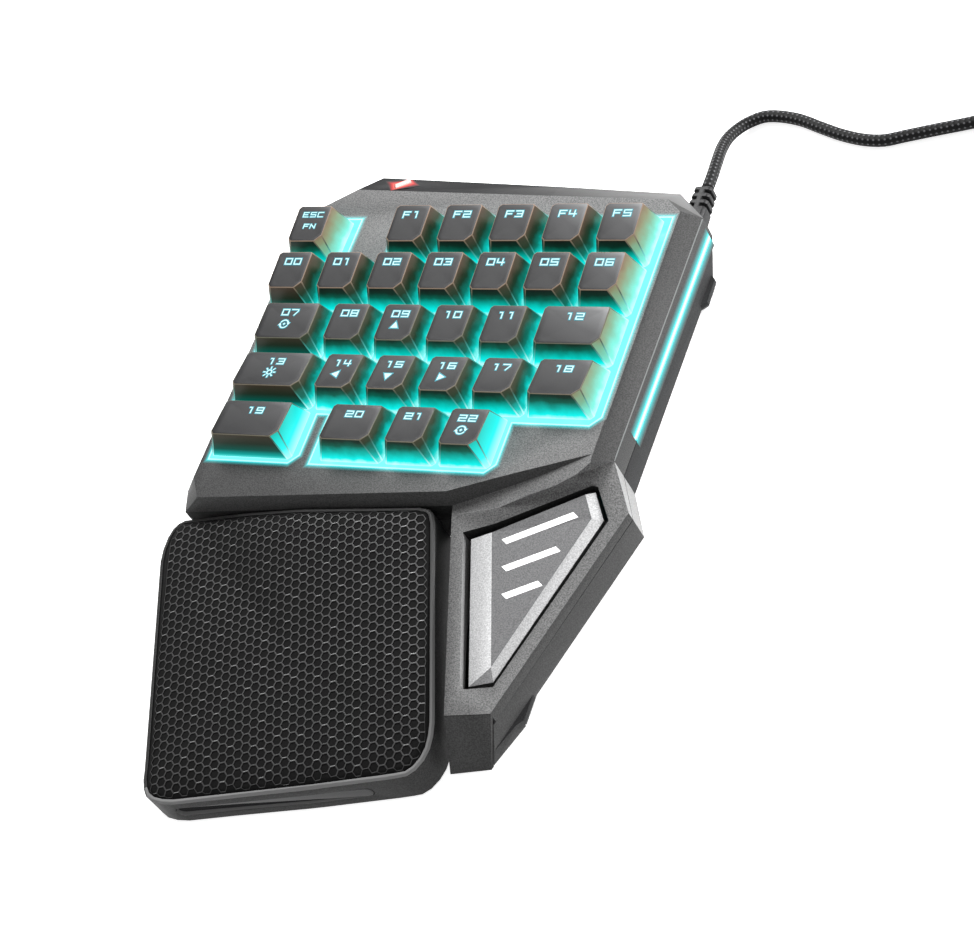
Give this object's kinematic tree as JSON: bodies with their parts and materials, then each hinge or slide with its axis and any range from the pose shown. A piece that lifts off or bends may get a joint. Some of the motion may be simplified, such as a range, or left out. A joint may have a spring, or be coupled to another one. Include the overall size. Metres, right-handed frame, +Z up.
{
  "type": "gaming keypad",
  "caption": "One-handed gaming keypad with sculpted keys, a turned thumb key, a light strip, a detachable padded palm rest and a coiled USB cable.",
  "frame": {"origin": "middle of the keypad's bounding box in plan, without its cord, on the table under the feet", "axes": "+Z up; +Y away from the user, across the key rows; +X to the user's right, along the key rows"},
  "size_m": [0.2999, 0.2779, 0.0353],
  "materials": {
    "deck": "fine texture",
    "base": "matt",
    "keycap": "satin",
    "thumb": "metallic grain",
    "light": "light guide",
    "lens": "clear red",
    "steel": "satin",
    "rubber": "matt",
    "silicone": "milky",
    "board": "laminate",
    "frame": "fine texture",
    "pad": "honeycomb grain",
    "insert": "gloss",
    "cable": "braid over copper cores"
  },
  "bodies": {
    "case": {"top_housing": "deck", "bottom_housing": "base", "key_plate": "steel", "dome_sheet": "silicone", "circuit_board": "board", "ballast_plate": "steel", "right_light_strip": "light", "status_lens": "lens", "thumb_pivot_pin": "steel", "thumb_dome": "silicone", "strain_relief": "rubber", "cable_run": "cable", "cable_coil": "cable", "cable_tie": "rubber", "usb_plug_grip": "rubber", "usb_plug_shell": "steel", "case_screw_1": "steel", "case_screw_2": "steel", "case_screw_3": "steel", "case_screw_4": "steel", "case_screw_5": "steel", "case_foot_1": "rubber", "case_foot_2": "rubber", "case_foot_3": "rubber", "case_foot_4": "rubber"},
    "thumb": {"thumb_key": "thumb"},
    "palm_rest": {"palm_rest_base": "frame", "palm_rest_pad": "pad", "palm_rest_insert": "insert", "palm_foot_1": "rubber", "palm_foot_2": "rubber"},
    "key_esc_body": {"key_esc": "keycap"},
    "key_f1_body": {"key_f1": "keycap"},
    "key_f2_body": {"key_f2": "keycap"},
    "key_f3_body": {"key_f3": "keycap"},
    "key_f4_body": {"key_f4": "keycap"},
    "key_f5_body": {"key_f5": "keycap"},
    "key_00_body": {"key_00": "keycap"},
    "key_01_body": {"key_01": "keycap"},
    "key_02_body": {"key_02": "keycap"},
    "key_03_body": {"key_03": "keycap"},
    "key_04_body": {"key_04": "keycap"},
    "key_05_body": {"key_05": "keycap"},
    "key_06_body": {"key_06": "keycap"},
    "key_07_body": {"key_07": "keycap"},
    "key_08_body": {"key_08": "keycap"},
    "key_09_body": {"key_09": "keycap"},
    "key_10_body": {"key_10": "keycap"},
    "key_11_body": {"key_11": "keycap"},
    "key_12_body": {"key_12": "keycap"},
    "key_13_body": {"key_13": "keycap"},
    "key_14_body": {"key_14": "keycap"},
    "key_15_body": {"key_15": "keycap"},
    "key_16_body": {"key_16": "keycap"},
    "key_17_body": {"key_17": "keycap"},
    "key_18_body": {"key_18": "keycap"},
    "key_19_body": {"key_19": "keycap"},
    "key_20_body": {"key_20": "keycap"},
    "key_21_body": {"key_21": "keycap"},
    "key_22_body": {"key_22": "keycap"}
  },
  "joints": [
    {"name": "key_esc_press", "type": "slide", "parent": "case", "child": "key_esc_body", "axis": [0, 0, -1], "range_m": [0, 0.0035], "stiffness_N_per_m": 150, "springref_m": -0.002, "deforming": ["dome_sheet"]},
    {"name": "key_f1_press", "type": "slide", "parent": "case", "child": "key_f1_body", "axis": [0, 0, -1], "range_m": [0, 0.0035], "stiffness_N_per_m": 150, "springref_m": -0.002, "deforming": ["dome_sheet"]},
    {"name": "key_f2_press", "type": "slide", "parent": "case", "child": "key_f2_body", "axis": [0, 0, -1], "range_m": [0, 0.0035], "stiffness_N_per_m": 150, "springref_m": -0.002, "deforming": ["dome_sheet"]},
    {"name": "key_f3_press", "type": "slide", "parent": "case", "child": "key_f3_body", "axis": [0, 0, -1], "range_m": [0, 0.0035], "stiffness_N_per_m": 150, "springref_m": -0.002, "deforming": ["dome_sheet"]},
    {"name": "key_f4_press", "type": "slide", "parent": "case", "child": "key_f4_body", "axis": [0, 0, -1], "range_m": [0, 0.0035], "stiffness_N_per_m": 150, "springref_m": -0.002, "deforming": ["dome_sheet"]},
    {"name": "key_f5_press", "type": "slide", "parent": "case", "child": "key_f5_body", "axis": [0, 0, -1], "range_m": [0, 0.0035], "stiffness_N_per_m": 150, "springref_m": -0.002, "deforming": ["dome_sheet"]},
    {"name": "key_00_press", "type": "slide", "parent": "case", "child": "key_00_body", "axis": [0, 0, -1], "range_m": [0, 0.0035], "stiffness_N_per_m": 150, "springref_m": -0.002, "deforming": ["dome_sheet"]},
    {"name": "key_01_press", "type": "slide", "parent": "case", "child": "key_01_body", "axis": [0, 0, -1], "range_m": [0, 0.0035], "stiffness_N_per_m": 150, "springref_m": -0.002, "deforming": ["dome_sheet"]},
    {"name": "key_02_press", "type": "slide", "parent": "case", "child": "key_02_body", "axis": [0, 0, -1], "range_m": [0, 0.0035], "stiffness_N_per_m": 150, "springref_m": -0.002, "deforming": ["dome_sheet"]},
    {"name": "key_03_press", "type": "slide", "parent": "case", "child": "key_03_body", "axis": [0, 0, -1], "range_m": [0, 0.0035], "stiffness_N_per_m": 150, "springref_m": -0.002, "deforming": ["dome_sheet"]},
    {"name": "key_04_press", "type": "slide", "parent": "case", "child": "key_04_body", "axis": [0, 0, -1], "range_m": [0, 0.0035], "stiffness_N_per_m": 150, "springref_m": -0.002, "deforming": ["dome_sheet"]},
    {"name": "key_05_press", "type": "slide", "parent": "case", "child": "key_05_body", "axis": [0, 0, -1], "range_m": [0, 0.0035], "stiffness_N_per_m": 150, "springref_m": -0.002, "deforming": ["dome_sheet"]},
    {"name": "key_06_press", "type": "slide", "parent": "case", "child": "key_06_body", "axis": [0, 0, -1], "range_m": [0, 0.0035], "stiffness_N_per_m": 150, "springref_m": -0.002, "deforming": ["dome_sheet"]},
    {"name": "key_07_press", "type": "slide", "parent": "case", "child": "key_07_body", "axis": [0, 0, -1], "range_m": [0, 0.0035], "stiffness_N_per_m": 150, "springref_m": -0.002, "deforming": ["dome_sheet"]},
    {"name": "key_08_press", "type": "slide", "parent": "case", "child": "key_08_body", "axis": [0, 0, -1], "range_m": [0, 0.0035], "stiffness_N_per_m": 150, "springref_m": -0.002, "deforming": ["dome_sheet"]},
    {"name": "key_09_press", "type": "slide", "parent": "case", "child": "key_09_body", "axis": [0, 0, -1], "range_m": [0, 0.0035], "stiffness_N_per_m": 150, "springref_m": -0.002, "deforming": ["dome_sheet"]},
    {"name": "key_10_press", "type": "slide", "parent": "case", "child": "key_10_body", "axis": [0, 0, -1], "range_m": [0, 0.0035], "stiffness_N_per_m": 150, "springref_m": -0.002, "deforming": ["dome_sheet"]},
    {"name": "key_11_press", "type": "slide", "parent": "case", "child": "key_11_body", "axis": [0, 0, -1], "range_m": [0, 0.0035], "stiffness_N_per_m": 150, "springref_m": -0.002, "deforming": ["dome_sheet"]},
    {"name": "key_12_press", "type": "slide", "parent": "case", "child": "key_12_body", "axis": [0, 0, -1], "range_m": [0, 0.0035], "stiffness_N_per_m": 150, "springref_m": -0.002, "deforming": ["dome_sheet"]},
    {"name": "key_13_press", "type": "slide", "parent": "case", "child": "key_13_body", "axis": [0, 0, -1], "range_m": [0, 0.0035], "stiffness_N_per_m": 150, "springref_m": -0.002, "deforming": ["dome_sheet"]},
    {"name": "key_14_press", "type": "slide", "parent": "case", "child": "key_14_body", "axis": [0, 0, -1], "range_m": [0, 0.0035], "stiffness_N_per_m": 150, "springref_m": -0.002, "deforming": ["dome_sheet"]},
    {"name": "key_15_press", "type": "slide", "parent": "case", "child": "key_15_body", "axis": [0, 0, -1], "range_m": [0, 0.0035], "stiffness_N_per_m": 150, "springref_m": -0.002, "deforming": ["dome_sheet"]},
    {"name": "key_16_press", "type": "slide", "parent": "case", "child": "key_16_body", "axis": [0, 0, -1], "range_m": [0, 0.0035], "stiffness_N_per_m": 150, "springref_m": -0.002, "deforming": ["dome_sheet"]},
    {"name": "key_17_press", "type": "slide", "parent": "case", "child": "key_17_body", "axis": [0, 0, -1], "range_m": [0, 0.0035], "stiffness_N_per_m": 150, "springref_m": -0.002, "deforming": ["dome_sheet"]},
    {"name": "key_18_press", "type": "slide", "parent": "case", "child": "key_18_body", "axis": [0, 0, -1], "range_m": [0, 0.0035], "stiffness_N_per_m": 150, "springref_m": -0.002, "deforming": ["dome_sheet"]},
    {"name": "key_19_press", "type": "slide", "parent": "case", "child": "key_19_body", "axis": [0, 0, -1], "range_m": [0, 0.0035], "stiffness_N_per_m": 150, "springref_m": -0.002, "deforming": ["dome_sheet"]},
    {"name": "key_20_press", "type": "slide", "parent": "case", "child": "key_20_body", "axis": [0, 0, -1], "range_m": [0, 0.0035], "stiffness_N_per_m": 150, "springref_m": -0.002, "deforming": ["dome_sheet"]},
    {"name": "key_21_press", "type": "slide", "parent": "case", "child": "key_21_body", "axis": [0, 0, -1], "range_m": [0, 0.0035], "stiffness_N_per_m": 150, "springref_m": -0.002, "deforming": ["dome_sheet"]},
    {"name": "key_22_press", "type": "slide", "parent": "case", "child": "key_22_body", "axis": [0, 0, -1], "range_m": [0, 0.0035], "stiffness_N_per_m": 150, "springref_m": -0.002, "deforming": ["dome_sheet"]},
    {"name": "thumb_press", "type": "hinge", "parent": "case", "child": "thumb", "pos_m": [0.0505, -0.06435, 0.01], "axis": [-0.9455, -0.3256, 0], "range_deg": [0, 2.6], "stiffness_Nm_per_rad": 1.2, "springref_deg": -1.72, "deforming": ["thumb_dome"]},
    {"name": "palm_rest_slide_off", "type": "slide", "parent": "case", "child": "palm_rest", "axis": [0.284, -0.9588, 0], "range_m": [0, 0.03]}
  ]
}
